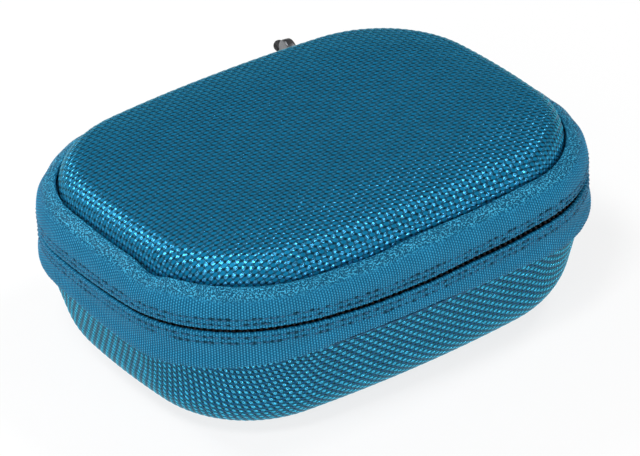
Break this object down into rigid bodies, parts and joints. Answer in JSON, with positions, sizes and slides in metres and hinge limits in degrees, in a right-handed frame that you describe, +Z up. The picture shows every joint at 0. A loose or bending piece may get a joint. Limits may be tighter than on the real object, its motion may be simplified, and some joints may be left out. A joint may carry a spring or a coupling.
{
  "type": "earbud case",
  "caption": "Zipped hard case for earbuds: two moulded shells in coarse woven nylon, a zip band round the middle and a cloth hinge at the back.",
  "frame": {"origin": "centre of the flat underside, where the case rests", "axes": "+X along the case's length, -Y towards the front where the zip opens, +Y towards the cloth hinge, +Z up"},
  "size_m": [0.1006, 0.0917, 0.0401],
  "materials": {
    "woven_cover": "coarse plain weave, satin yarns",
    "zip_tape": "fine ribbed tape, matte",
    "moulded_foam": "closed-cell foam",
    "knit_lining": "brushed knit",
    "zip_coil": "nylon monofilament",
    "thread": "twisted polyester",
    "pocket_net": "open mesh",
    "elastic": "ribbed elastic",
    "gunmetal": "dark gunmetal plating",
    "black_rubber": "moulded, satin"
  },
  "bodies": {
    "base": {"base_cover": "woven_cover", "base_foam_shell": "moulded_foam", "base_lining": "knit_lining", "base_binding": "zip_tape", "base_zip_tape": "zip_tape", "base_coil": "zip_coil", "base_coil_stitching": "thread", "base_seam_thread": "thread"},
    "lid": {"lid_cover": "woven_cover", "lid_foam_shell": "moulded_foam", "lid_lining": "knit_lining", "lid_binding": "zip_tape", "lid_zip_tape": "zip_tape", "lid_coil": "zip_coil", "lid_coil_stitching": "thread", "lid_seam_thread": "thread", "lid_pocket_net": "pocket_net", "lid_pocket_elastic": "elastic"},
    "hinge_strip_body": {"hinge_strip": "zip_tape", "hinge_lining": "knit_lining", "hinge_stitching": "thread", "zip_end_coils": "zip_coil", "zip_stops": "gunmetal"},
    "slider": {"slider_body": "gunmetal", "slider_bridge": "gunmetal"},
    "pull": {"pull_link": "gunmetal", "pull_tail": "black_rubber"}
  },
  "joints": [
    {"name": "lid_hinge", "type": "hinge", "parent": "base", "child": "lid", "pos_m": [0, 0.0391, 0.026], "axis": [-1, 0, 0], "range_deg": [0, 100]},
    {"name": "strip_fold", "type": "hinge", "parent": "base", "child": "hinge_strip_body", "pos_m": [0, 0.0391, 0.026], "axis": [-1, 0, 0], "range_deg": [0, 50]},
    {"name": "slider_run", "type": "hinge", "parent": "hinge_strip_body", "child": "slider", "pos_m": [0.02, 0.00875, 0.026], "axis": [0, 0, 1], "range_deg": [-10, 0]},
    {"name": "pull_swing", "type": "hinge", "parent": "slider", "child": "pull", "pos_m": [0.02622, 0.04075, 0.026], "axis": [0, 0, 1], "range_deg": [-45, 45]}
  ],
  "couplings": [
    {"joint": "strip_fold", "follows": "lid_hinge", "ratio": 0.5}
  ]
}
